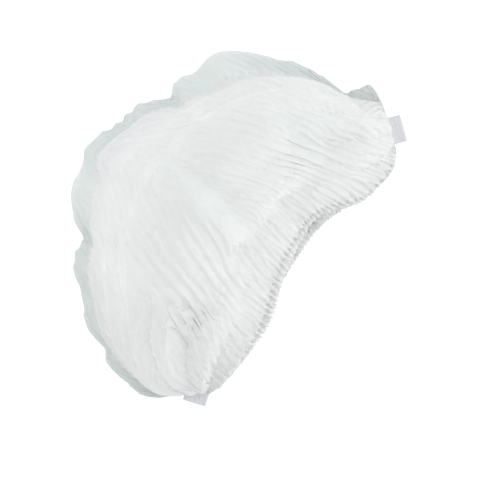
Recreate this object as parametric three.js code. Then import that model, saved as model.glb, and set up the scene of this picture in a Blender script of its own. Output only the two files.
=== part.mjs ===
// Disposable hair cover cap, pulled open and lying on its side.
//
// The cap is one rectangular sheet of spunbond cloth, folded into pleats that
// run end to end.  All the pleats are welded together at both ends, and an
// elastic thread is welded into the hem along each of the two long edges.
// Pulled apart, the pleats open into a hollow dome whose mouth is the gap
// between the two hems.
//
// Millimetres, +Z up.  X runs from one welded end to the other, the mouth
// faces -Y, the crown of the dome bulges towards +Y, and the lower layer of
// cloth lies on the surface at Z = 0.
//
// A point of the cloth is named by two shares: "along", 0 at the left end and
// 1 at the right end, and "across", 0 at the lower lip and 1 at the upper lip.
import * as THREE from "three";

// ---- driving dimensions ----------------------------------------------------
const WALL = 1.2; // cloth wall
const SHEET_WIDTH = 440; // flat sheet, lip to lip
const PLEATS = 22; // panels between fold lines, lip to lip
const HEM_WIDTH = 12; // folded and welded edge that holds the elastic
const HEM_WALL = 2.4;
const THREAD_R = 0.8; // elastic thread
const GAP = 0.3; // clearance between separate pieces
const SEAL = { length: 8, thickness: 4.4, corner: 2 }; // welded end tab
const STATIONS = 54; // rings along the shell
const LOWER_LINES = 10, RIM_LINES = 5, UPPER_LINES = 21; // strips across its lower layer, rim and upper layer

// ---- the open form -----------------------------------------------------
// One row for each section from the left end to the right end.  A section is
// a vertical cut from the lips (front) to the crown (back): height is how far
// its top stands over its lowest cloth, lift how far that is off the surface,
// and over how far the upper lip reaches in front of the lower one.
const SECTIONS = [
  { along: 0.0, backX: -118, backY: 15, frontX: -112, frontY: -1, height: 5, lift: 8, over: 0 },
  { along: 0.06, backX: -139, backY: 29, frontX: -106, frontY: -3, height: 33, lift: 2.5, over: 0 },
  { along: 0.12, backX: -143, backY: 57, frontX: -98, frontY: -4, height: 58, lift: 0, over: 2 },
  { along: 0.19, backX: -132, backY: 90, frontX: -84, frontY: -4, height: 79, lift: 0, over: 5 },
  { along: 0.25, backX: -114, backY: 116, frontX: -68, frontY: -3, height: 91, lift: 0, over: 6 },
  { along: 0.31, backX: -89, backY: 139, frontX: -50, frontY: -1, height: 99, lift: 0, over: 6 },
  { along: 0.375, backX: -64, backY: 160, frontX: -33, frontY: 3, height: 104, lift: 0, over: 5 },
  { along: 0.44, backX: -34, backY: 174, frontX: -16, frontY: 8, height: 107, lift: 0, over: 3 },
  { along: 0.5, backX: -4, backY: 174, frontX: 0, frontY: 10, height: 108, lift: 0, over: 0 },
  { along: 0.56, backX: 25, backY: 165, frontX: 16, frontY: 11, height: 107, lift: 0, over: -2 },
  { along: 0.625, backX: 55, backY: 156, frontX: 33, frontY: 11, height: 104, lift: 0, over: -3 },
  { along: 0.69, backX: 84, backY: 145, frontX: 50, frontY: 7, height: 99, lift: 0, over: 2 },
  { along: 0.75, backX: 108, backY: 122, frontX: 66, frontY: 0, height: 90, lift: 0, over: 6 },
  { along: 0.81, backX: 120, backY: 92, frontX: 83, frontY: -4, height: 77, lift: 0, over: 5 },
  { along: 0.88, backX: 127, backY: 59, frontX: 98, frontY: -5, height: 57, lift: 0, over: 3 },
  { along: 0.94, backX: 134, backY: 35, frontX: 107, frontY: -2, height: 32, lift: 2.5, over: 0 },
  { along: 1.0, backX: 127, backY: 20, frontX: 115, frontY: 4, height: 5, lift: 8, over: 0 },
];

// The shape of every section: reach is the share of the way from the lips to
// the crown, rise the share of the section's height, and base a height of its
// own.  The lower layer lies flat out to the edge, where the sheet's middle
// fold keeps two panels together as a flat rim; the dome rises inside it.
const EDGE = 10 / 22, CREASE = 11 / 22; // the fold lines at the rim's outer and inner side
const PROFILE = [
  { across: 0.0, reach: -0.01, rise: 0.035, base: 0 },
  { across: 0.06, reach: 0.13, rise: 0.0, base: 0 },
  { across: 0.2, reach: 0.46, rise: 0.0, base: 0 },
  { across: 0.33, reach: 0.77, rise: 0.0, base: 0 },
  { across: 0.42, reach: 0.95, rise: 0.0, base: 0.3 },
  { across: EDGE, reach: 1.0, rise: 0.01, base: 3.2 },
  { across: 0.475, reach: 0.955, rise: 0.025, base: 6.2 },
  { across: CREASE, reach: 0.885, rise: 0.05, base: 6.6 },
  { across: 0.54, reach: 0.86, rise: 0.29, base: 5 },
  { across: 0.59, reach: 0.8, rise: 0.59, base: 2.5 },
  { across: 0.65, reach: 0.68, rise: 0.84, base: 1 },
  { across: 0.72, reach: 0.53, rise: 0.97, base: 0 },
  { across: 0.79, reach: 0.38, rise: 0.99, base: 0 },
  { across: 0.86, reach: 0.23, rise: 0.89, base: 0 },
  { across: 0.93, reach: 0.1, rise: 0.7, base: 0 },
  { across: 1.0, reach: 0.005, rise: 0.46, base: 0 },
];

// Notches (depth < 0) and bulges in the edge of the crown, seen from above.
const SCALLOPS = [
  { along: 0.08, half: 0.025, depth: 3.5 },
  { along: 0.14, half: 0.02, depth: 2.5 },
  { along: 0.175, half: 0.017, depth: -4.5 },
  { along: 0.21, half: 0.02, depth: 2 },
  { along: 0.25, half: 0.018, depth: -2 },
  { along: 0.285, half: 0.02, depth: 3 },
  { along: 0.332, half: 0.02, depth: -7 },
  { along: 0.394, half: 0.03, depth: 2.5 },
  { along: 0.43, half: 0.016, depth: -1.5 },
  { along: 0.462, half: 0.02, depth: 3 },
  { along: 0.515, half: 0.018, depth: -2 },
  { along: 0.55, half: 0.017, depth: 1.2 },
  { along: 0.594, half: 0.018, depth: -6 },
  { along: 0.628, half: 0.018, depth: 2.5 },
  { along: 0.655, half: 0.016, depth: -2.5 },
  { along: 0.705, half: 0.03, depth: 3.5 },
  { along: 0.77, half: 0.018, depth: -2 },
  { along: 0.805, half: 0.02, depth: 2 },
  { along: 0.872, half: 0.022, depth: -5.5 },
  { along: 0.935, half: 0.022, depth: 3.5 },
];

// Dents and ridges in the upper layer, each along a line seen from above.
// depth < 0 is a valley.
const FOLDS = [
  { fromX: -6, fromY: 112, toX: -17, toY: 52, half: 9, depth: 4.5 }, // ridge between the two crown bulges
  { fromX: 10, fromY: 124, toX: -2, toY: 50, half: 9, depth: -5.5 }, // dent beside it
  { fromX: -20, fromY: 40, toX: 26, toY: 33, half: 7, depth: -6 }, // where the crown folds over the gathered band
  { fromX: 26, fromY: 33, toX: 96, toY: 40, half: 8, depth: -4 },
  { fromX: -20, fromY: 40, toX: -96, toY: 38, half: 8, depth: -4 },
  { fromX: 30, fromY: 116, toX: 62, toY: 84, half: 20, depth: 4 }, // right bulge
  { fromX: -66, fromY: 96, toX: -38, toY: 68, half: 20, depth: 4 }, // left bulge
  { fromX: 86, fromY: 82, toX: 102, toY: 56, half: 9, depth: -5 }, // hollow near the right end
  { fromX: -104, fromY: 84, toX: -84, toY: 58, half: 8, depth: -3.5 }, // and near the left
];

// ---- helpers -----------------------------------------------------------
// A smooth curve through a table's rows, read at x.
function read(rows, key, name, x) {
  const last = rows.length - 1;
  let i = 0;
  while (i < last - 1 && x > rows[i + 1][key]) i++;
  const slope = (k) => {
    const a = rows[Math.max(0, k - 1)], b = rows[Math.min(last, k + 1)];
    return (b[name] - a[name]) / (b[key] - a[key]);
  };
  const a = rows[i], b = rows[i + 1], h = b[key] - a[key], u = (x - a[key]) / h;
  return (
    (2 * u ** 3 - 3 * u ** 2 + 1) * a[name] +
    (u ** 3 - 2 * u ** 2 + u) * h * slope(i) +
    (3 * u ** 2 - 2 * u ** 3) * b[name] +
    (u ** 3 - u ** 2) * h * slope(i + 1)
  );
}
const bell = (d) => Math.exp(-d * d);
const clamp = (x, low, high) => Math.min(high, Math.max(low, x));

// The smooth form, before folds: a point of the cloth's outer face.
function form(along, across) {
  const at = (name) => read(SECTIONS, "along", name, along);
  const front = new THREE.Vector2(at("frontX"), at("frontY"));
  const back = new THREE.Vector2(at("backX"), at("backY"));
  const reach = read(PROFILE, "across", "reach", across);
  const rise = read(PROFILE, "across", "rise", across);
  const out = back.clone().sub(front);
  const depth = out.length();
  out.divideScalar(depth);
  let edge = 0;
  for (const s of SCALLOPS) edge += s.depth * bell((along - s.along) / s.half);
  edge *= bell((across - 0.465) / 0.06);
  edge -= at("over") * clamp((across - 0.72) / 0.28, 0, 1) ** 2;
  const plan = front.clone().addScaledVector(out, reach * depth + edge);
  const base = read(PROFILE, "across", "base", across) * clamp(at("height") / 35, 0, 1);
  return new THREE.Vector3(plan.x, plan.y, at("lift") + Math.max(0, base + rise * at("height")));
}

// The outward normal of the smooth form.
function outward(along, across) {
  const d = 0.004;
  const a0 = clamp(along - d, 0, 1), a1 = clamp(along + d, 0, 1);
  const c0 = clamp(across - d, 0, 1), c1 = clamp(across + d, 0, 1);
  const u = form(a1, across).sub(form(a0, across));
  const v = form(along, c1).sub(form(along, c0));
  return v.cross(u).normalize();
}

// How far the cloth stands off the smooth form: pleat ridges, which deepen
// towards the welded ends, and the folds in the upper layer.
function relief(along, across, p) {
  const height = read(SECTIONS, "along", "height", along);
  const gather = 1 - clamp(4 * along * (1 - along), 0, 1); // 0 mid-length, 1 at the ends
  const panel = across * PLEATS;
  const ridge = 2 * Math.abs(panel / 2 - Math.round(panel / 2)); // 0 and 1 on alternate fold lines
  const offFloor = clamp((p.z - 1) / 8, 0, 1);
  const deep = Math.min(0.6 + 5 * gather, 0.16 * height);
  const onDome = clamp(Math.abs(across - (EDGE + CREASE) / 2) / 0.05 - 0.5, 0, 1);
  let d = (ridge - 0.5) * 2 * deep * offFloor * onDome;
  if (across > 0.5)
    for (const f of FOLDS) {
      const a = new THREE.Vector2(f.fromX, f.fromY), b = new THREE.Vector2(f.toX, f.toY);
      const ab = b.clone().sub(a), q = new THREE.Vector2(p.x, p.y).sub(a);
      const u = clamp(q.dot(ab) / ab.lengthSq(), 0, 1);
      d += f.depth * bell(q.addScaledVector(ab, -u).length() / f.half) * clamp((across - 0.52) / 0.05, 0, 1) * clamp(height / 60, 0, 1);
    }
  return d;
}

// A point of the cloth, a distance in from its outer face.
function cloth(along, across, inward = 0) {
  const p = form(along, across), n = outward(along, across);
  const d = relief(along, across, p);
  const q = p.addScaledVector(n, d - inward);
  if (inward === 0) q.z = Math.max(0, q.z);
  return q;
}

// A closed solid between two grids of points, outer[i][j] and inner[i][j].
function slab(outer, inner) {
  const rows = outer.length, cols = outer[0].length, size = rows * cols;
  const position = [], index = [];
  for (const grid of [outer, inner]) for (const row of grid) for (const p of row) position.push(p.x, p.y, p.z);
  const o = (i, j) => i * cols + j, n = (i, j) => size + o(i, j);
  const quad = (a, b, c, d) => index.push(a, b, c, a, c, d);
  for (let i = 0; i < rows - 1; i++)
    for (let j = 0; j < cols - 1; j++) {
      quad(o(i, j), o(i, j + 1), o(i + 1, j + 1), o(i + 1, j));
      quad(n(i, j), n(i + 1, j), n(i + 1, j + 1), n(i, j + 1));
    }
  for (let i = 0; i < rows - 1; i++) {
    quad(o(i, 0), o(i + 1, 0), n(i + 1, 0), n(i, 0));
    quad(o(i, cols - 1), n(i, cols - 1), n(i + 1, cols - 1), o(i + 1, cols - 1));
  }
  for (let j = 0; j < cols - 1; j++) {
    quad(o(0, j), n(0, j), n(0, j + 1), o(0, j + 1));
    quad(o(rows - 1, j), o(rows - 1, j + 1), n(rows - 1, j + 1), n(rows - 1, j));
  }
  const g = new THREE.BufferGeometry();
  g.setAttribute("position", new THREE.Float32BufferAttribute(position, 3));
  g.setIndex(index);
  g.computeVertexNormals();
  return g;
}

const steps = (from, to, count) => Array.from({ length: count + 1 }, (_, i) => from + ((to - from) * i) / count);

const cap = new THREE.Group();
const cloudy = (color, roughness) => new THREE.MeshStandardMaterial({ color, roughness, metalness: 0, side: THREE.DoubleSide });
function add(name, geometry, material) {
  const mesh = new THREE.Mesh(geometry, material);
  mesh.name = name;
  cap.add(mesh);
  return mesh;
}

// ---- crown: the pleated shell ---------------------------------------------
const hemShare = HEM_WIDTH / SHEET_WIDTH;
// The share of the width that leaves a clear gap beside a hem, at one station.
function gapShare(along, edge) {
  const near = Math.abs(edge - 0.06);
  return ((3 * GAP) / form(along, near).distanceTo(form(along, edge))) * 0.06;
}
{
  const alongs = steps(0.01, 0.99, STATIONS);
  const grid = (inward) =>
    alongs.map((a) =>
      [
        ...steps(hemShare + gapShare(a, 0), 0.42, LOWER_LINES).slice(0, -1),
        ...steps(0.42, CREASE, RIM_LINES).slice(0, -1),
        ...steps(CREASE, 1 - hemShare - gapShare(a, 1), UPPER_LINES),
      ].map((c) => cloth(a, c, inward)),
    );
  add("crown", slab(grid(0), grid(WALL)), cloudy(0xe7ebeb, 0.75));
}

// ---- hems: the folded edges that hold the elastic ---------------------------
// The line a hem follows: the smooth form, held clear of the surface.
function hemLine(along, across) {
  const p = form(along, across);
  p.z = Math.max(p.z, HEM_WAVE + 0.6);
  return p;
}
function hemOut(along, across) {
  const d = 0.004, a0 = clamp(along - d, 0, 1), a1 = clamp(along + d, 0, 1);
  const low = across < 0.5 ? 0 : 1 - hemShare;
  const u = hemLine(a1, low).sub(hemLine(a0, low)), v = hemLine(along, low + hemShare).sub(hemLine(along, low));
  return v.cross(u).normalize();
}
const HEM_WAVES = 22, HEM_STEPS = 3 * HEM_WAVES, HEM_WAVE = 0.9;
function hem(fromAcross, toAcross) {
  const alongs = steps(0.035, 0.965, HEM_STEPS);
  const face = (side) =>
    alongs.map((a, i) =>
      [fromAcross, toAcross].map((c) => {
        const wave = HEM_WAVE * (i % 3 === 1 ? 1 : i % 3 === 2 ? -1 : 0);
        return hemLine(a, c).addScaledVector(hemOut(a, c), wave + side);
      }),
    );
  return slab(face(0.5), face(0.5 - HEM_WALL));
}
add("hem_lower", hem(0, hemShare), cloudy(0xeef1f1, 0.7));
add("hem_upper", hem(1 - hemShare, 1), cloudy(0xeef1f1, 0.7));

// ---- elastic threads, along the inner face of each hem ----------------------------
class Along extends THREE.Curve {
  constructor(across) {
    super();
    this.across = across;
  }
  getPoint(t, target = new THREE.Vector3()) {
    const a = 0.06 + 0.88 * t, inward = HEM_WALL - 0.5 + HEM_WAVE + THREAD_R + GAP;
    return target.copy(hemLine(a, this.across)).addScaledVector(hemOut(a, this.across), -inward);
  }
}
function thread(across) {
  const ring = new THREE.Shape();
  for (let k = 0; k < 6; k++) {
    const a = (k * Math.PI) / 3;
    ring[k ? "lineTo" : "moveTo"](THREAD_R * Math.cos(a), THREAD_R * Math.sin(a));
  }
  ring.closePath();
  return new THREE.ExtrudeGeometry(ring, { steps: 44, extrudePath: new Along(across), bevelEnabled: false });
}
add("elastic_lower", thread(hemShare * 0.5), cloudy(0xf6f6f2, 0.5));
add("elastic_upper", thread(1 - hemShare * 0.5), cloudy(0xf6f6f2, 0.5));

// ---- welded end tabs -------------------------------------------------------
function seal(along) {
  const at = (name) => read(SECTIONS, "along", name, along);
  const front = new THREE.Vector3(at("frontX"), at("frontY"), 0), back = new THREE.Vector3(at("backX"), at("backY"), 0);
  const width = back.distanceTo(front), r = SEAL.corner, half = width / 2;
  const outline = new THREE.Shape();
  outline.moveTo(0, -half);
  outline.lineTo(SEAL.length - r, -half);
  outline.quadraticCurveTo(SEAL.length, -half, SEAL.length, -half + r);
  outline.lineTo(SEAL.length, half - r);
  outline.quadraticCurveTo(SEAL.length, half, SEAL.length - r, half);
  outline.lineTo(0, half);
  outline.closePath();
  const g = new THREE.ExtrudeGeometry(outline, { depth: SEAL.thickness, bevelEnabled: false, curveSegments: 3 });
  const wide = back.clone().sub(front).normalize();
  const away = new THREE.Vector3(wide.y, -wide.x, 0).multiplyScalar(along < 0.5 ? -1 : 1);
  const centre = front.clone().add(back).multiplyScalar(0.5).addScaledVector(away, GAP + 2.4);
  centre.z = at("lift");
  const side = along < 0.5 ? wide.clone().negate() : wide.clone();
  return { g, away, side, centre };
}
for (const [name, along] of [["end_seal_left", 0], ["end_seal_right", 1]]) {
  const { g, away, centre } = seal(along);
  const mesh = add(name, g, cloudy(0xf1f3f3, 0.45));
  mesh.rotation.z = Math.atan2(away.y, away.x);
  mesh.position.copy(centre);
}

// ---- origin: under the middle of the whole cap, on the surface ----------------
cap.updateMatrixWorld(true);
const box = new THREE.Box3().setFromObject(cap, true);
const middle = box.getCenter(new THREE.Vector3());
cap.position.set(-middle.x, -middle.y, -box.min.z);

export default cap;
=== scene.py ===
# Disposable hair cover cap: one pleated sheet of spunbond cloth, pulled open
# and lying on its side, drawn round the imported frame.
import math

import bmesh
import bpy
import numpy as np
from mathutils import Matrix, Vector


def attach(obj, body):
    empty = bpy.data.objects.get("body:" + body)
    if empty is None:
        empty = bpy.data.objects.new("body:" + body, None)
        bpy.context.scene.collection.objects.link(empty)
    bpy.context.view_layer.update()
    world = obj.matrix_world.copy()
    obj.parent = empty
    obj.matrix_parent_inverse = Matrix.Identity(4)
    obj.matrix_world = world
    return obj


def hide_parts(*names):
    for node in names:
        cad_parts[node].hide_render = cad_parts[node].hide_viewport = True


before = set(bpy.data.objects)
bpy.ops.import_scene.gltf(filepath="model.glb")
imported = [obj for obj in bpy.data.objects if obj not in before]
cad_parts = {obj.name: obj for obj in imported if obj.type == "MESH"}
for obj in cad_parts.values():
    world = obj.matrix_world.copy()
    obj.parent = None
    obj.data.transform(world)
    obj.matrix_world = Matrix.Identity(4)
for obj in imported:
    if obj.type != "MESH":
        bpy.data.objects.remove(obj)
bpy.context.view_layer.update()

MM = 0.001
SHIFT = (4.390, -84.295)  # mm, from the tables' axes to the frame's

# ---------------------------------------------------------------------------
# Camera: straight above the cap, turned so that the mouth faces the lower
# right of the picture.
# ---------------------------------------------------------------------------
scene = bpy.context.scene
AZ, EL = math.radians(-52.14), math.radians(88.0)
PX = 0.722 * MM  # a picture cell at the height of the cap's widest outline
LENS, SENSOR = 150.0, 36.0
MOUTH = (303.0, 270.5)  # where the middle of the mouth falls in the picture

back = Vector((math.sin(AZ) * math.cos(EL), -math.cos(AZ) * math.cos(EL), math.sin(EL)))
right = Vector((math.cos(AZ), math.sin(AZ), 0))
up = back.cross(right)
mouth = Vector((SHIFT[0] * MM, SHIFT[1] * MM, 0.035))
aim = mouth + right * (250 - MOUTH[0]) * PX + up * (MOUTH[1] - 250) * PX
cam_data = bpy.data.cameras.new("camera")
cam_data.lens, cam_data.sensor_width = LENS, SENSOR
cam_data.clip_start, cam_data.clip_end = 0.05, 20
cam = bpy.data.objects.new("camera", cam_data)
cam.matrix_world = Matrix.Translation(aim + back * (500 * PX * LENS / SENSOR)) @ Matrix((right, up, back)).transposed().to_4x4()
scene.collection.objects.link(cam)
scene.camera = cam

# ---------------------------------------------------------------------------
# The open form, in millimetres, as in the frame: one row for each section
# from the left welded end to the right one.
# ---------------------------------------------------------------------------
SHEET_L, SHEET_W, PANELS = 530.0, 440.0, 22  # flat sheet, and pleat panels across it
HEM = 12.0

SECTIONS = np.array([
    # along, backX, backY, frontX, frontY, height, lift, over
    (0.0, -118, 15, -112, -1, 5, 8, 0),
    (0.06, -139, 29, -106, -3, 33, 2.5, 0),
    (0.12, -143, 57, -98, -4, 58, 0, 2),
    (0.19, -132, 90, -84, -4, 79, 0, 5),
    (0.25, -114, 116, -68, -3, 91, 0, 6),
    (0.31, -89, 139, -50, -1, 99, 0, 6),
    (0.375, -64, 160, -33, 3, 104, 0, 5),
    (0.44, -34, 174, -16, 8, 107, 0, 3),
    (0.5, -4, 174, 0, 10, 108, 0, 0),
    (0.56, 25, 165, 16, 11, 107, 0, -2),
    (0.625, 55, 156, 33, 11, 104, 0, -3),
    (0.69, 84, 145, 50, 7, 99, 0, 2),
    (0.75, 108, 122, 66, 0, 90, 0, 6),
    (0.81, 120, 92, 83, -4, 77, 0, 5),
    (0.88, 127, 59, 98, -5, 57, 0, 3),
    (0.94, 137, 38, 107, -2, 32, 2.5, 0),
    (1.0, 127, 20, 115, 4, 5, 8, 0),
])
EDGE, CREASE = 10 / 22, 11 / 22  # fold lines at the rim's outer and inner side
PROFILE = np.array([
    # across, reach, rise, base
    (0.0, -0.01, 0.035, 0), (0.06, 0.13, 0.0, 0), (0.2, 0.46, 0.0, 0), (0.33, 0.77, 0.0, 0),
    (0.42, 0.95, 0.0, 0.3), (EDGE, 1.0, 0.01, 3.2), (0.475, 0.955, 0.025, 6.2),
    (CREASE, 0.875, 0.05, 6.6), (0.54, 0.83, 0.27, 5), (0.59, 0.75, 0.58, 2.5),
    (0.65, 0.64, 0.84, 1), (0.72, 0.53, 0.97, 0), (0.79, 0.38, 0.99, 0), (0.86, 0.23, 0.89, 0),
    (0.93, 0.1, 0.7, 0), (1.0, 0.005, 0.46, 0),
])
SCALLOPS = np.array([
    # along, half width, depth: notches and bulges in the edge of the crown
    (0.08, 0.025, 3.5), (0.14, 0.02, 2.5), (0.175, 0.015, -5.0), (0.21, 0.02, 2.0),
    (0.25, 0.018, -2.0), (0.285, 0.02, 3.0), (0.332, 0.017, -7.5), (0.394, 0.03, 2.5),
    (0.43, 0.016, -1.5), (0.462, 0.02, 3.0), (0.515, 0.018, -2.0), (0.55, 0.017, 1.2),
    (0.594, 0.014, -7.0), (0.628, 0.018, 2.5), (0.655, 0.016, -2.5), (0.705, 0.03, 3.5),
    (0.69, 0.055, 4.5), (0.4, 0.045, 3.0), (0.925, 0.02, 3.0),
    (0.77, 0.018, -2.0), (0.805, 0.02, 2.0), (0.872, 0.018, -6.0), (0.935, 0.022, 3.5),
])
RIM = np.array([
    # along, width: how far the shut fold stands out from the puckered crease
    (0.0, 3), (0.05, 8), (0.1, 12), (0.14, 12), (0.175, 5.5), (0.21, 9), (0.25, 8), (0.29, 9),
    (0.332, 7), (0.38, 15), (0.42, 15), (0.455, 7), (0.5, 5), (0.55, 5), (0.58, 7), (0.62, 16),
    (0.68, 22), (0.74, 20), (0.79, 13), (0.83, 13), (0.872, 10), (0.92, 13), (0.96, 9), (1.0, 3),
], float)
FOLDS = np.array([
    # fromX, fromY, toX, toY, half, depth: ridges and dents of the upper layer
    (-6, 112, -17, 52, 9, 4.5),
    (10, 124, -2, 50, 9, -5.5),
    (-20, 40, 26, 33, 7, -6),
    (26, 33, 96, 40, 8, -4),
    (-20, 40, -96, 38, 8, -4),
    (30, 116, 62, 84, 20, 4),
    (-66, 96, -38, 68, 20, 4),
    (86, 82, 102, 56, 13, -2.5),
    (-104, 84, -84, 58, 12, -2),
], float)


def hermite(tab, col, x):
    """A smooth curve through a table's column, read at x."""
    k, v = tab[:, 0], tab[:, col]
    n = len(k)
    m = np.empty(n)
    m[1:-1] = (v[2:] - v[:-2]) / (k[2:] - k[:-2])
    m[0] = (v[1] - v[0]) / (k[1] - k[0])
    m[-1] = (v[-1] - v[-2]) / (k[-1] - k[-2])
    x = np.asarray(x, float)
    i = np.clip(np.searchsorted(k, x, side="right") - 1, 0, n - 2)
    h = k[i + 1] - k[i]
    u = (x - k[i]) / h
    return (
        (2 * u**3 - 3 * u**2 + 1) * v[i]
        + (u**3 - 2 * u**2 + u) * h * m[i]
        + (3 * u**2 - 2 * u**3) * v[i + 1]
        + (u**3 - u**2) * h * m[i + 1]
    )


def form(S, T, saw=0.0):
    """The smooth form at matching arrays of along and across."""
    fx, fy = hermite(SECTIONS, 3, S), hermite(SECTIONS, 4, S)
    bx, by = hermite(SECTIONS, 1, S), hermite(SECTIONS, 2, S)
    H, L, over = hermite(SECTIONS, 5, S), hermite(SECTIONS, 6, S), hermite(SECTIONS, 7, S)
    r, rise, base = hermite(PROFILE, 1, T), hermite(PROFILE, 2, T), hermite(PROFILE, 3, T)
    dx, dy = bx - fx, by - fy
    d = np.hypot(dx, dy)
    edge = 0
    for a, half, depth in SCALLOPS:
        edge = edge + depth * np.exp(-(((S - a) / half) ** 2))
    edge = edge * np.exp(-(((T - 0.465) / 0.06) ** 2)) + saw * np.exp(-(((T - EDGE) / 0.02) ** 2))
    edge = edge - over * np.clip((T - 0.72) / 0.28, 0, 1) ** 2
    crease = np.interp(S, RIM[:, 0], RIM[:, 1])
    r = r + edge / d + (0.125 - crease / d) * np.exp(-(((T - CREASE - 0.01) / 0.045) ** 2))
    z = L + np.maximum(0, base * np.clip(H / 35, 0, 1) + rise * H)
    return np.stack([fx + dx * r, fy + dy * r, z], -1)


def sections(ns, nt, dense=60):
    """A grid of along and across, spaced by arc length between the rim's fold lines."""
    s = np.linspace(0, 1, ns + 1)
    q = np.linspace(0, 1, nt + 1)
    T = np.empty((ns + 1, nt + 1))
    stops = (0.0, EDGE, CREASE, 1.0)
    for a, b in zip(stops[:-1], stops[1:]):
        td = np.linspace(a, b, dense)
        P = form(s[:, None] + 0 * td[None], td[None] + 0 * s[:, None])
        d = np.linalg.norm(np.diff(P, axis=1), axis=2)
        c = np.concatenate([np.zeros((ns + 1, 1)), np.cumsum(d, 1)], 1)
        c = a + (b - a) * c / c[:, -1:]
        on = (q >= a - 1e-9) & (q <= b + 1e-9)
        for i in range(ns + 1):
            T[i, on] = np.interp(q[on], c[i], td)
    return s[:, None] + 0 * T, T


# ---------------------------------------------------------------------------
# The cloth: the sheet is laid over the form and let relax.  It is longer than
# the form along the lips and towards the ends, so it gathers there.
# ---------------------------------------------------------------------------
def noise2(rng, n, m, cs, ct):
    """Smooth seeded noise on an (n, m) grid, with cells of cs by ct steps."""
    gn, gm = int(np.ceil(n / cs)) + 4, int(np.ceil(m / ct)) + 4
    g = rng.standard_normal((gn, gm))

    def axis(k, c):
        x = np.arange(k) / c + 1
        i = np.floor(x).astype(int)
        u = x - i
        w = np.stack(
            [
                -0.5 * u**3 + u**2 - 0.5 * u,
                1.5 * u**3 - 2.5 * u**2 + 1,
                -1.5 * u**3 + 2 * u**2 + 0.5 * u,
                0.5 * u**3 - 0.5 * u**2,
            ],
            1,
        )
        return i, w

    i, wi = axis(n, cs)
    j, wj = axis(m, ct)
    r = sum(wi[:, a][:, None] * g[i - 1 + a] for a in range(4))
    return sum(wj[:, b][None] * r[:, j - 1 + b] for b in range(4))


def upsample(X, n2, m2):
    """Catmull-Rom resampling of a grid to n2 by m2 points."""

    def along(Y, k):
        n = Y.shape[0]
        x = np.linspace(0, n - 1, k)
        i = np.clip(np.floor(x).astype(int), 0, n - 2)
        u = (x - i).reshape((-1,) + (1,) * (Y.ndim - 1))
        P = np.concatenate([2 * Y[:1] - Y[1:2], Y, 2 * Y[-1:] - Y[-2:-1]], 0)
        a, b, c, d = P[i], P[i + 1], P[i + 2], P[i + 3]
        return 0.5 * (
            2 * b
            + (c - a) * u
            + (2 * a - 5 * b + 4 * c - d) * u * u
            + (3 * b - a - 3 * c + d) * u**3
        )

    return np.swapaxes(along(np.swapaxes(along(X, n2), 0, 1), m2), 0, 1)


def normals(X):
    n = np.cross(np.gradient(X, axis=1), np.gradient(X, axis=0))
    return n / np.maximum(np.linalg.norm(n, axis=2, keepdims=True), 1e-9)


def pull(A, B, rest, k):
    d = B - A
    length = np.sqrt(np.einsum("...k,...k", d, d)) + 1e-6
    c = (k * 0.5 * (1 - rest / length))[..., None] * d
    A += c
    B -= c


def relax(X, Ls, Lt, base, ka, bend_s, bend_t, steps, keep=0.6, floor=0.2, reach=7.0):
    """Position-based relaxation of a grid of cloth with rest lengths Ls, Lt."""
    f = np.float32
    X, base, Ls, Lt = X.astype(f), base.astype(f), Ls.astype(f), Lt.astype(f)
    n, m, _ = X.shape
    Ld = np.sqrt((0.5 * (Ls[:, 1:] + Ls[:, :-1])) ** 2 + (0.5 * (Lt[1:] + Lt[:-1])) ** 2)
    L2s, L2t = Ls[1:] + Ls[:-1], Lt[:, 1:] + Lt[:, :-1]
    prev = X.copy()
    ka = ka.astype(f)[..., None]
    bend_t = bend_t.astype(f)
    for _ in range(steps):
        V = (X - prev) * f(keep)
        prev = X.copy()
        X += V
        X += ka * (base - X)
        for c in range(4):
            pull(X[c : n - 2 : 4], X[c + 2 : n : 4], L2s[c : n - 2 : 4], f(bend_s))
            pull(X[:, c : m - 2 : 4], X[:, c + 2 : m : 4], L2t[:, c : m - 2 : 4], bend_t[:, c : m - 2 : 4])
        for c in range(2):
            pull(X[c : n - 1 : 2, :-1], X[c + 1 : n : 2, 1:], Ld[c::2], f(0.35))
            pull(X[c : n - 1 : 2, 1:], X[c + 1 : n : 2, :-1], Ld[c::2], f(0.35))
        for c in range(2):
            pull(X[c : n - 1 : 2], X[c + 1 : n : 2], Ls[c::2], f(0.9))
            pull(X[:, c : m - 1 : 2], X[:, c + 1 : m : 2], Lt[:, c::2], f(0.9))
        np.maximum(X[..., 2], f(floor), out=X[..., 2])
        d = X - base
        far = np.sqrt(np.einsum("...k,...k", d, d))[..., None]
        X = np.where(far > reach, base + d * (f(reach) / np.maximum(far, f(1e-6))), X)
    return X.astype(float)


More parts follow.
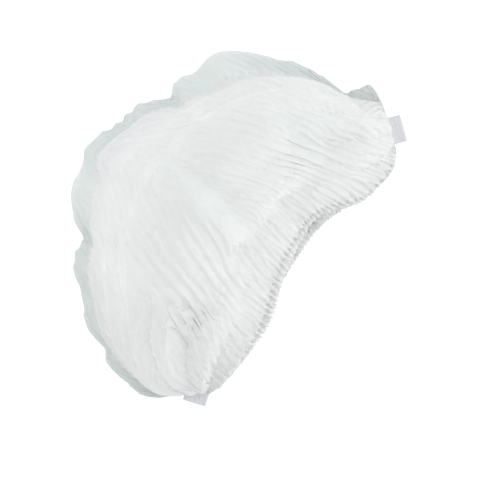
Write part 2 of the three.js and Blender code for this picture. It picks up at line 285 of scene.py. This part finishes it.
def lay(ns, nt):
    """The form on a grid, with its folds, and the cloth's rest lengths over it."""
    S, T = sections(ns, nt)
    saw = np.abs(((S * 39 + 0.25 * np.sin(S * 60)) % 1.0) - 0.3) * 3.4 - 0.9
    B = form(S, T, saw * np.clip(np.sin(np.pi * S) * 3, 0, 1) * (0.45 + 0.35 * np.sin(S * 23 + 1) + 1.1 * np.exp(-(((S - 0.51) / 0.055) ** 2))))
    N = normals(B)
    height = hermite(SECTIONS, 5, S)
    q = np.linspace(0, 1, nt + 1)[None] + 0 * S
    lip = np.minimum(q, 1 - q) * SHEET_W  # distance from the nearer lip
    d = 0
    for ax, ay, bx, by, half, depth in FOLDS:
        ab = np.array([bx - ax, by - ay])
        p = B[..., :2] - (ax, ay)
        u = np.clip(p @ ab / (ab @ ab), 0, 1)
        far = np.linalg.norm(p - u[..., None] * ab, axis=-1)
        d = d + depth * np.exp(-((far / half) ** 2)) * np.clip((T - 0.52) / 0.05, 0, 1) * np.clip(height / 60, 0, 1)
    B = B + N * d[..., None]

    Ls0 = np.linalg.norm(np.diff(B, axis=0), axis=2)
    Lt0 = np.linalg.norm(np.diff(B, axis=1), axis=2)
    true_s, true_t = SHEET_L / ns / Ls0, SHEET_W / nt / Lt0
    lip_s = 0.5 * (lip[1:] + lip[:-1])
    q_s = 0.5 * (q[1:] + q[:-1])
    share = np.where(q_s > CREASE, SLACK_S, UNDER_S)
    share = share + (1 - share) * np.exp(-((lip_s / 30) ** 2))
    share = share + (0.75 - share) * np.exp(-(((q_s - CREASE) / 0.022) ** 2))
    gs = np.clip(1 + np.maximum(true_s - 1, 0.04) * share, 1.03, 2.15)
    gt = 1 + np.clip((true_t - 1) * 0.8, 0.02, SLACK_T)
    panel = q * PANELS
    zig = 2 * np.abs(panel / 2 - np.round(panel / 2)) - 0.5
    width = np.linalg.norm(np.gradient(B, axis=1), axis=2) * nt / PANELS
    g = np.concatenate([gt[:, :1], 0.5 * (gt[:, 1:] + gt[:, :-1]), gt[:, -1:]], 1)
    deep = np.minimum(width * np.sqrt(np.maximum(g * g - 1, 0)), 0.3 * height)
    deep = deep * np.clip(np.abs(q - (EDGE + CREASE) / 2) / 0.05 - 0.5, 0, 1)
    P = B + N * (zig * deep * 0.6)[..., None]
    P[..., 2] = np.maximum(P[..., 2], 0.2)
    return dict(S=S, T=T, q=q, B=B, P=P, N=N, lip=lip, height=height, Ls=Ls0 * gs, Lt=Lt0 * gt, panel=panel)


SLACK_S, UNDER_S, SLACK_T = 0.14, 1.0, 0.34  # how much of its spare length the sheet shows


def crinkles(rng, g, waves=39):
    """The small gathers set into the folded stack, out of step from panel to panel."""
    n, m = g["S"].shape
    k = np.floor(g["panel"]).astype(int).clip(0, PANELS - 1)
    f = g["panel"] - k
    f = f * f * (3 - 2 * f)
    phase = rng.uniform(0, 2 * np.pi, PANELS + 1)
    slow = noise2(rng, n, m, n / 30, m / 22) * 1.6
    a, b = phase[k], phase[k + 1]
    w0 = np.sin(2 * np.pi * waves * g["S"] + a + slow)
    w1 = np.sin(2 * np.pi * waves * g["S"] + b + slow)
    return w0 * (1 - f) + w1 * f


def hold(g, ka, lips, rim):
    """How firmly each point is drawn to the form."""
    ends = np.minimum(g["S"], 1 - g["S"])
    return (
        ka
        + lips * np.exp(-((g["lip"] / 14) ** 2))
        + 8 * rim * np.exp(-(((g["q"] - EDGE) / 0.006) ** 2))
        + 2 * rim * np.exp(-(((g["q"] - (EDGE + CREASE) / 2) / 0.02) ** 2))
        + 4 * rim * np.exp(-(((g["q"] - CREASE) / 0.006) ** 2))
        + 0.3 * np.exp(-((ends / 0.012) ** 2))
    )


def fold_bend(g, flat, fold):
    on_fold = np.abs(g["panel"] - np.round(g["panel"])) < 1e-6
    return np.where(on_fold, fold, flat)[:, 1:-1]


def make_cloth(quick=False):
    rng = np.random.default_rng(11)
    ns, nt = 94, 66
    a = lay(ns, nt)
    X = a["P"] + a["N"] * (crinkles(rng, a) * 0.5 + noise2(rng, ns + 1, nt + 1, 5, 5) * 0.7)[..., None]
    X = relax(X, a["Ls"], a["Lt"], a["P"], hold(a, 0.02, 0.05, 0.05), 0.08, fold_bend(a, 0.10, 0.02), 40 if quick else 120)
    for level, (steps, ka, bend) in enumerate(((110, 0.014, 0.06), (110, 0.012, 0.06))):
        ns, nt = 2 * ns, 2 * nt
        b = lay(ns, nt)
        extra = noise2(rng, ns + 1, nt + 1, 3, 4) * 0.22 + (crinkles(rng, b, 80) * 0.4 if level == 0 else 0)
        X = upsample(X, ns + 1, nt + 1) + b["N"] * extra[..., None]
        if not quick:
            X = relax(X, b["Ls"], b["Lt"], b["P"], hold(b, ka, 0.04, 0.04), bend, fold_bend(b, bend * 1.2, 0.02), steps)
    return X, b


# ---------------------------------------------------------------------------
# Materials.
# ---------------------------------------------------------------------------
class Nodes:
    def __init__(self, name):
        self.mat = bpy.data.materials.new(name)
        self.mat.use_nodes = True
        self.tree = self.mat.node_tree
        self.tree.nodes.clear()
        self.out = self.add("ShaderNodeOutputMaterial")

    def add(self, kind, **values):
        n = self.tree.nodes.new(kind)
        for k, v in values.items():
            setattr(n, k, v)
        return n

    def link(self, a, b):
        self.tree.links.new(a, b)

    def set(self, socket, value):
        if isinstance(value, bpy.types.NodeSocket):
            self.link(value, socket)
        else:
            socket.default_value = value

    def math(self, op, a, b=0.0, c=0.0, clamp=False):
        n = self.add("ShaderNodeMath", operation=op, use_clamp=clamp)
        self.set(n.inputs[0], a)
        self.set(n.inputs[1], b)
        if len(n.inputs) > 2:
            self.set(n.inputs[2], c)
        return n.outputs[0]

    def ramp(self, x, a, b, lo=0.0, hi=1.0, smooth=True):
        n = self.add("ShaderNodeMapRange", interpolation_type="SMOOTHSTEP" if smooth else "LINEAR")
        self.set(n.inputs["Value"], x)
        n.inputs["From Min"].default_value, n.inputs["From Max"].default_value = a, b
        n.inputs["To Min"].default_value, n.inputs["To Max"].default_value = lo, hi
        return n.outputs[0]

    def noise(self, vector, scale, detail=3.0, rough=0.5, distort=0.0):
        n = self.add("ShaderNodeTexNoise")
        self.link(vector, n.inputs["Vector"])
        n.inputs["Scale"].default_value = scale
        n.inputs["Detail"].default_value = detail
        n.inputs["Roughness"].default_value = rough
        n.inputs["Distortion"].default_value = distort
        return n.outputs["Fac"]

    def mix(self, fac, a, b):
        n = self.add("ShaderNodeMix", data_type="RGBA")
        self.set(n.inputs["Factor"], fac)
        for socket, v in ((n.inputs[6], a), (n.inputs[7], b)):
            self.set(socket, v if isinstance(v, bpy.types.NodeSocket) else (*v, 1.0))
        return n.outputs[2]

    def shader(self, fac, a, b):
        n = self.add("ShaderNodeMixShader")
        self.set(n.inputs[0], fac)
        self.link(a, n.inputs[1])
        self.link(b, n.inputs[2])
        return n.outputs[0]


def flat_coords(n):
    """The cloth's own flat coordinates, in metres: along and across the sheet."""
    uv = n.add("ShaderNodeUVMap", uv_map="flat").outputs[0]
    sep = n.add("ShaderNodeSeparateXYZ")
    n.link(uv, sep.inputs[0])
    return uv, sep.outputs[0], sep.outputs[1]


def bonds(n, x, y, pitch_x=0.0014, pitch_y=0.0011, size=0.30):
    """Staggered oval bond points pressed into the cloth: 1 inside a point."""
    row = n.math("FLOOR", n.math("DIVIDE", y, pitch_y))
    odd = n.math("MODULO", n.math("ABSOLUTE", row), 2.0)
    u = n.math("FRACT", n.math("ADD", n.math("DIVIDE", x, pitch_x), n.math("MULTIPLY", odd, 0.5)))
    v = n.math("FRACT", n.math("DIVIDE", y, pitch_y))
    du, dv = n.math("SUBTRACT", u, 0.5), n.math("SUBTRACT", v, 0.5)
    r = n.math("SQRT", n.math("ADD", n.math("MULTIPLY", du, du), n.math("MULTIPLY", dv, dv)))
    return n.ramp(r, size, size * 0.55)


def spunbond(name, light, rim, end, clear=0.10, through=0.5, weld=False):
    """Thin spunbond cloth.  Attribute shade: 0 at the rim, where the rim colour is painted shade, 0.5 on the dome, 1 at
    the ends.
    """
    n = Nodes(name)
    uv, x, y = flat_coords(n)
    cloud = n.noise(uv, 95.0, 4.0, 0.6)  # weight of fibre from place to place
    coarse = n.noise(uv, 22.0, 3.0, 0.55)
    webs = []
    for scale, size, turn in (((1.0, 3.2, 1.0), 1400.0, 0.25), ((3.4, 1.0, 1.0), 1100.0, -0.5)):
        m = n.add("ShaderNodeMapping")
        m.inputs["Scale"].default_value = scale
        m.inputs["Rotation"].default_value = (0, 0, turn)
        n.link(uv, m.inputs["Vector"])
        webs.append(n.noise(m.outputs[0], size, 3.0, 0.65, 0.6))
    web = n.math("MAXIMUM", *webs)
    shade = n.add("ShaderNodeAttribute", attribute_name="shade").outputs["Fac"]
    weight = n.math("ADD", n.math("MULTIPLY", cloud, 0.6), n.math("MULTIPLY", coarse, 0.4))
    vary = n.math("MULTIPLY", n.math("SUBTRACT", weight, 0.5), 0.5)
    # the rim colour comes in where the shade attribute is low: painted shade on the rim, a teal tone in thin cloth
    color = n.mix(n.ramp(n.math("ADD", shade, vary), 0.0, 0.5), rim, light)
    color = n.mix(n.ramp(n.math("ADD", shade, vary), 0.55, 1.0), color, end)
    color = n.mix(n.ramp(web, 0.45, 0.75, 0.0, 0.2), color, (0.97, 0.975, 0.975))
    dot = bonds(n, x, y)
    press = dot
    if weld:  # a row of pressed marks along the hem's inner side
        edge = n.math("MINIMUM", y, n.math("SUBTRACT", SHEET_W * MM, y))
        along = n.math("ABSOLUTE", n.math("SUBTRACT", n.math("FRACT", n.math("DIVIDE", x, 0.0034)), 0.5))
        row = n.math("ABSOLUTE", n.math("SUBTRACT", edge, 0.0101))
        mark = n.math("MULTIPLY", n.ramp(along, 0.30, 0.22), n.ramp(row, 0.0011, 0.0007))
        press = n.math("MAXIMUM", dot, mark)
        color = n.mix(n.math("MULTIPLY", mark, 0.55), color, (0.74, 0.76, 0.765))
    bsdf = n.add("ShaderNodeBsdfPrincipled")
    n.link(color, bsdf.inputs["Base Color"])
    n.link(n.math("SUBTRACT", 0.72, n.math("MULTIPLY", press, 0.3)), bsdf.inputs["Roughness"])
    bsdf.inputs["Specular IOR Level"].default_value = 0.35
    bsdf.inputs["Sheen Weight"].default_value = 0.12
    bsdf.inputs["Sheen Roughness"].default_value = 0.5
    height = n.math("SUBTRACT", n.math("MULTIPLY", web, 0.6), n.math("MULTIPLY", press, 0.9))
    bump = n.add("ShaderNodeBump")
    bump.inputs["Strength"].default_value = 0.4
    bump.inputs["Distance"].default_value = 0.00012
    n.link(height, bump.inputs["Height"])
    n.link(bump.outputs[0], bsdf.inputs["Normal"])
    trans = n.add("ShaderNodeBsdfTranslucent")
    n.link(n.mix(0.35, color, (1.0, 1.0, 1.0)), trans.inputs["Color"])
    n.link(bump.outputs[0], trans.inputs["Normal"])
    body = n.shader(through, bsdf.outputs[0], trans.outputs[0])
    hole = n.add("ShaderNodeBsdfTransparent")
    open_ = n.math("ADD", n.math("MULTIPLY", n.math("SUBTRACT", 1.0, weight), clear * 1.6), n.math("MULTIPLY", dot, 0.08), clamp=True)
    n.link(n.shader(open_, body, hole.outputs[0]), n.out.inputs["Surface"])
    return n.mat


# ---------------------------------------------------------------------------
# Pieces.
# ---------------------------------------------------------------------------
def grid_mesh(name, P, uv=None, shade=None, mat=None, wrap=False):
    """A mesh from a grid of points in the tables' millimetres."""
    n, m = P.shape[:2]
    V = P.reshape(-1, 3).copy()
    V[:, 0] += SHIFT[0]
    V[:, 1] += SHIFT[1]
    V *= MM
    idx = np.arange(n * m).reshape(n, m)
    if wrap:
        idx = np.concatenate([idx, idx[:, :1]], 1)
    F = np.stack([idx[:-1, :-1], idx[:-1, 1:], idx[1:, 1:], idx[1:, :-1]], -1).reshape(-1, 4)
    mesh = bpy.data.meshes.new(name)
    mesh.vertices.add(len(V))
    mesh.vertices.foreach_set("co", V.ravel())
    mesh.loops.add(F.size)
    mesh.loops.foreach_set("vertex_index", F.ravel().astype(np.int32))
    mesh.polygons.add(len(F))
    mesh.polygons.foreach_set("loop_start", np.arange(0, F.size, 4, dtype=np.int32))
    mesh.update(calc_edges=True)
    mesh.polygons.foreach_set("use_smooth", np.ones(len(F), dtype=bool))
    if uv is not None:
        layer = mesh.uv_layers.new(name="flat")
        layer.data.foreach_set("uv", uv.reshape(-1, 2)[F.ravel()].ravel())
    if shade is not None:
        at = mesh.attributes.new("shade", "FLOAT", "POINT")
        at.data.foreach_set("value", shade.ravel().astype(np.float32))
    mesh.validate()
    if wrap:  # close both ends of a tube
        bm = bmesh.new()
        bm.from_mesh(mesh)
        bmesh.ops.holes_fill(bm, edges=[e for e in bm.edges if e.is_boundary], sides=0)
        bmesh.ops.recalc_face_normals(bm, faces=bm.faces)
        bm.to_mesh(mesh)
        bm.free()
    ob = bpy.data.objects.new(name, mesh)
    scene.collection.objects.link(ob)
    if mat:
        mesh.materials.append(mat)
    return ob


# TEAL_TONE_AND_RIM_SHADE: a teal tone that shows where the cloth is thin, and on the rim a darker painted shade
LIGHT, TEAL_TONE_AND_RIM_SHADE, LILAC = (0.885, 0.895, 0.89), (0.80, 0.865, 0.855), (0.82, 0.83, 0.855)
cloth_mat = spunbond("spunbond", LIGHT, TEAL_TONE_AND_RIM_SHADE, LILAC)
# the hem's paler colours are painted light that offsets the shade falling on the hems
hem_mat = spunbond("spunbond_hem", (0.95, 0.955, 0.95), TEAL_TONE_AND_RIM_SHADE, (0.90, 0.905, 0.915), clear=0.05, through=0.5, weld=True)
seal_mat = spunbond("spunbond_weld", LIGHT, TEAL_TONE_AND_RIM_SHADE, LILAC, clear=0.02, through=0.25)

X, g = make_cloth(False)
S, T, q = g["S"], g["T"], g["q"] + 0 * g["S"]
NS, NT = S.shape[0] - 1, S.shape[1] - 1
P = X
P[..., 2] = np.maximum(P[..., 2], 0.15)

# pressed tucks where the small gathers cross each fold line, as the folded stack leaves them
nrm = normals(P)
near = np.abs(g["panel"] - np.round(g["panel"])) * SHEET_W / PANELS  # mm from a fold line
line = np.round(g["panel"]).astype(int)
ph = np.random.default_rng(5).uniform(0, 2 * np.pi, PANELS + 1)[line]
tuck = np.sin(2 * np.pi * 84 * S + ph + 1.5 * np.sin(2 * np.pi * 3 * S + ph))
strength = 0.35 + 0.9 * np.exp(-((g["lip"] / 70) ** 2)) + 0.7 * np.exp(-(((q - CREASE) / 0.012) ** 2))
strength = strength * np.clip(np.minimum(S, 1 - S) / 0.05, 0, 1) * (line > 0) * (line < PANELS) * (line != 10)
strength = strength * (0.6 + 0.4 * np.sin(2 * np.pi * 7 * S + ph))
P = P + nrm * ((tuck - 0.4) * np.exp(-((near / 2.6) ** 2)) * strength * 0.85)[..., None]
soft = noise2(np.random.default_rng(23), NS + 1, NT + 1, 34, 24) * 1.1 + noise2(np.random.default_rng(29), NS + 1, NT + 1, 11, 9) * 0.35
P = P + nrm * (soft * np.clip((q - CREASE) / 0.05, 0, 1) * np.clip(g["lip"] / 40, 0, 1) * np.clip(np.minimum(S, 1 - S) / 0.08, 0, 1))[..., None]
P[..., 2] = np.maximum(P[..., 2], 0.15)

UV = np.stack([S * SHEET_L * MM, q * SHEET_W * MM], -1)
# rim: mask for the painted shade, a darker teal band along the shut fold of the rim
rim = np.clip(1 - np.abs(q - (EDGE + CREASE) / 2 - 0.0) / 0.034, 0, 1) ** 0.5 * (q > EDGE - 0.02)
rim = rim * np.clip(np.sin(np.pi * S) * 4, 0, 1)
ends = np.exp(-((np.minimum(S, 1 - S) / 0.05) ** 2))
drift = noise2(np.random.default_rng(31), NS + 1, NT + 1, 46, 30)
pucker = np.exp(-(((q - CREASE - 0.02) / 0.022) ** 2)) * np.clip(np.sin(np.pi * S) * 4, 0, 1)
# shade: the rim's painted shade, the tint at the ends and by the crease, and a random drift on the dome
shade = 0.5 - 0.5 * np.clip(rim, 0, 1) + 0.5 * ends + 0.28 * pucker + np.clip(0.12 * drift, -0.2, 0.2) * (q > CREASE)
shade = np.clip(shade, 0, 1)  # 0 rim, 0.5 dome, 1 ends

HK = 7  # grid lines in a hem
crown = grid_mesh("crown_cloth", P[:, HK - 1 : NT - HK + 2], UV[:, HK - 1 : NT - HK + 2], shade[:, HK - 1 : NT - HK + 2], cloth_mat)
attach(crown, "root")
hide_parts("crown")


def hem_piece(side):
    """The folded edge: two layers round the thread, welded together along the crown's side."""
    j = np.arange(HK + 1) if side == "lower" else NT - np.arange(HK + 1)
    R, N = P[:, j], normals(P)[:, j]
    k = np.arange(HK + 1)
    half = 0.28 + 0.62 * np.exp(-(((k - 3.2) / 1.7) ** 2))
    half[0] = 0.3
    out = R[:, :1] + (R[:, :1] - R[:, 1:2]) * 0.3
    rows = [R[:, i] + N[:, i] * half[i] for i in range(HK, -1, -1)] + [out[:, 0]] + [R[:, i] - N[:, i] * half[i] for i in range(HK + 1)]
    G = np.stack(rows, 1)
    G[..., 2] = np.maximum(G[..., 2], 0.1)
    us = [UV[:, j[i]] for i in list(range(HK, -1, -1))] + [UV[:, j[0]]] + [UV[:, j[i]] for i in range(HK + 1)]
    U = np.stack(us, 1)
    sh = np.full(G.shape[:2], 0.5) + 0.4 * np.exp(-((np.minimum(S[:, :1], 1 - S[:, :1]) / 0.04) ** 2))
    if side == "upper":
        G, U, sh = G[:, ::-1], U[:, ::-1], sh[:, ::-1]
    ob = grid_mesh("hem_%s_cloth" % side, G[3:-3], U[3:-3], sh[3:-3], hem_mat, wrap=True)
    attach(ob, "root")
    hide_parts("hem_" + side)
    # the elastic thread inside
    c = 0.3 * R[3:-3, 3] + 0.7 * R[3:-3, 4] if side == "lower" else 0.3 * R[3:-3, 3] + 0.7 * R[3:-3, 4]
    t = np.gradient(c, axis=0)
    t /= np.linalg.norm(t, axis=1, keepdims=True)
    a = N[3:-3, 3]
    a = a - t * np.einsum("ij,ij->i", a, t)[:, None]
    a /= np.linalg.norm(a, axis=1, keepdims=True)
    b = np.cross(t, a)
    w = np.arange(8) * np.pi / 4
    tube = c[:, None] + 0.42 * (np.cos(w)[None, :, None] * a[:, None] + np.sin(w)[None, :, None] * b[:, None])
    tu = np.stack([np.repeat(S[3:-3, :1] * SHEET_L * MM, 8, 1), np.tile(w * 0.42 * MM, (len(c), 1))], -1)
    th = grid_mesh("elastic_%s_thread" % side, tube, tu, None, elastic_mat, wrap=True)
    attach(th, "root")
    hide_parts("elastic_" + side)
    return ob, th


def elastic_material():
    n = Nodes("elastic")
    uv, x, y = flat_coords(n)
    twist = n.math("SINE", n.math("MULTIPLY", n.math("ADD", x, n.math("MULTIPLY", y, 1.4)), 5200.0))
    bsdf = n.add("ShaderNodeBsdfPrincipled")
    n.link(n.mix(n.ramp(twist, -1.0, 1.0, 0.0, 0.6), (0.80, 0.80, 0.77), (0.90, 0.90, 0.87)), bsdf.inputs["Base Color"])
    bsdf.inputs["Roughness"].default_value = 0.5
    bump = n.add("ShaderNodeBump")
    bump.inputs["Strength"].default_value = 0.5
    bump.inputs["Distance"].default_value = 0.0001
    n.link(twist, bump.inputs["Height"])
    n.link(bump.outputs[0], bsdf.inputs["Normal"])
    n.link(bsdf.outputs[0], n.out.inputs["Surface"])
    return n.mat


elastic_mat = elastic_material()
hem_lower, thread_lower = hem_piece("lower")
hem_upper, thread_upper = hem_piece("upper")


def seal_piece(side):
    """A welded end: the stack of pleats pressed thin under rows of weld marks."""
    row = SECTIONS[0] if side == "left" else SECTIONS[-1]
    front, back_ = np.array([row[3], row[4]], float), np.array([row[1], row[2]], float)
    wide = back_ - front
    width = np.linalg.norm(wide)
    wide /= width
    away = np.array([wide[1], -wide[0]]) * (-1 if side == "left" else 1)
    mid = 0.5 * (front + back_)
    nu, nv, nl = 56, 64, 10
    u = np.linspace(-4.0, 10.4, nu)[:, None]  # mm out from the cloth
    v = np.linspace(-0.5, 0.5, nv)[None]
    thick = 1.15 + 1.15 * np.exp(-(((u + 1.0) / 2.2) ** 2))  # half thickness
    cell_u, cell_v = (u - 3.2) / 2.4, v * width / 1.55
    mark = (np.abs(cell_u % 1 - 0.5) < 0.32) * (np.abs(cell_v % 1 - 0.5) < 0.3) * (u > 3.2) * (u < 8.0)
    k = np.array([0.25, 0.5, 0.25])
    mark = mark.astype(float)
    for ax in (0, 1):
        mark = np.apply_along_axis(lambda r: np.convolve(r, k, "same"), ax, mark)
    wave = 0.12 * np.sin(v * width * 1.9 + u * 0.35) + 0.08 * np.sin(u * 1.3 + v * 21)
    half = thick - 0.42 * mark + wave
    edge = np.minimum(1, (0.5 - np.abs(v)) * width / 0.7) ** 0.5 * np.minimum(1, np.maximum(10.4 - u, 0) / 0.6 + 0.001) ** 0.5
    half = 0.35 + (half - 0.35) * np.clip(edge, 0.15, 1)
    swell = 1 + 0.04 * np.cos(v * np.pi) * 0
    z0 = row[6] + 2.4
    rows = []
    for sgn in (1, -1):
        px = mid[0] + away[0] * u + wide[0] * v * width * swell
        py = mid[1] + away[1] * u + wide[1] * v * width * swell
        rows.append(np.stack([px + 0 * half, py + 0 * half, z0 + sgn * half], -1))
    top, bottom = rows
    # close the block: top grid and bottom grid joined by layered edges
    verts, faces, uvs = [], [], []

    def put(p, q_):
        verts.append(((p[0] + SHIFT[0]) * MM, (p[1] + SHIFT[1]) * MM, p[2] * MM))
        uvs.append(q_)
        return len(verts) - 1

    it = [[put(top[i, j], (u[i, 0] * MM, v[0, j] * width * MM)) for j in range(nv)] for i in range(nu)]
    ib = [[put(bottom[i, j], (u[i, 0] * MM, v[0, j] * width * MM)) for j in range(nv)] for i in range(nu)]
    flip = side == "left"
    for i in range(nu - 1):
        for j in range(nv - 1):
            faces.append((it[i][j], it[i + 1][j], it[i + 1][j + 1], it[i][j + 1]))
            faces.append((ib[i][j], ib[i][j + 1], ib[i + 1][j + 1], ib[i + 1][j]))
    ring = [(i, 0) for i in range(nu)] + [(nu - 1, j) for j in range(1, nv)] + [(i, nv - 1) for i in range(nu - 2, -1, -1)] + [(0, j) for j in range(nv - 2, 0, -1)]
    centre = np.array([mid[0] + away[0] * 5, mid[1] + away[1] * 5])
    levels = [[it[i][j] for i, j in ring]]
    for L in range(1, nl):
        f = L / nl
        level = []
        for i, j in ring:
            p = top[i, j] * (1 - f) + bottom[i, j] * f
            d = p[:2] - centre
            d = d / max(1e-6, np.linalg.norm(d))
            p = p.copy()
            p[:2] += d * (0.22 if L % 2 else -0.10)
            level.append(put(p, (u[i, 0] * MM, (v[0, j] * width + L * 0.3) * MM)))
        levels.append(level)
    levels.append([ib[i][j] for i, j in ring])
    m = len(ring)
    for L in range(nl):
        for k_ in range(m):
            a, b = levels[L][k_], levels[L][(k_ + 1) % m]
            c, d = levels[L + 1][(k_ + 1) % m], levels[L + 1][k_]
            faces.append((a, d, c, b))
    mesh = bpy.data.meshes.new("end_seal_%s_weld" % side)
    mesh.from_pydata(verts, [], faces)
    mesh.update()
    layer = mesh.uv_layers.new(name="flat")
    for poly in mesh.polygons:
        for li in poly.loop_indices:
            layer.data[li].uv = uvs[mesh.loops[li].vertex_index]
    at = mesh.attributes.new("shade", "FLOAT", "POINT")
    at.data.foreach_set("value", np.full(len(verts), 0.95, np.float32))
    bm = bmesh.new()
    bm.from_mesh(mesh)
    bmesh.ops.recalc_face_normals(bm, faces=bm.faces)
    bm.to_mesh(mesh)
    bm.free()
    mesh.polygons.foreach_set("use_smooth", np.ones(len(mesh.polygons), dtype=bool))
    ob = bpy.data.objects.new("end_seal_%s_weld" % side, mesh)
    scene.collection.objects.link(ob)
    mesh.materials.append(seal_mat)
    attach(ob, "root")
    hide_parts("end_seal_" + side)
    return ob


seal_piece("left")
seal_piece("right")


# ---------------------------------------------------------------------------
# Floor and light.
# ---------------------------------------------------------------------------
def plain(name, color, rough):
    n = Nodes(name)
    geo = n.add("ShaderNodeNewGeometry")
    bsdf = n.add("ShaderNodeBsdfPrincipled")
    n.link(n.mix(n.noise(geo.outputs["Position"], 6.0), color, tuple(min(1.0, c * 1.01) for c in color)), bsdf.inputs["Base Color"])
    bsdf.inputs["Roughness"].default_value = rough
    bsdf.inputs["Specular IOR Level"].default_value = 0.1
    bsdf.inputs["Emission Color"].default_value = (1, 1, 1, 1)
    bsdf.inputs["Emission Strength"].default_value = 0.58
    n.link(bsdf.outputs[0], n.out.inputs["Surface"])
    return n.mat


floor_mesh = bpy.data.meshes.new("floor")
floor_mesh.from_pydata([(-3, -3, 0), (3, -3, 0), (3, 3, 0), (-3, 3, 0)], [], [(0, 1, 2, 3)])
floor = bpy.data.objects.new("floor", floor_mesh)
floor_mesh.materials.append(plain("floor", (0.95, 0.95, 0.95), 0.9))
scene.collection.objects.link(floor)

world = bpy.data.worlds.new("studio")
scene.world = world
world.use_nodes = True
world.node_tree.nodes["Background"].inputs["Color"].default_value = (1, 1, 1, 1)
world.node_tree.nodes["Background"].inputs["Strength"].default_value = 0.75


def area(name, place, size, power, target=(0, 0, 0.03)):
    light = bpy.data.lights.new(name, "AREA")
    light.shape, light.size, light.energy = "DISK", size, power
    ob = bpy.data.objects.new(name, light)
    ob.location = place
    ob.rotation_euler = (Vector(target) - Vector(place)).to_track_quat("-Z", "Y").to_euler()
    scene.collection.objects.link(ob)


area("key", (0.9, -0.9, 0.6), 0.7, 5.5)
area("top", (-0.2, 0.3, 1.6), 1.4, 2)
scene.view_settings.view_transform = "Standard"
scene.view_settings.look = "None"
scene.view_settings.exposure = 0.0
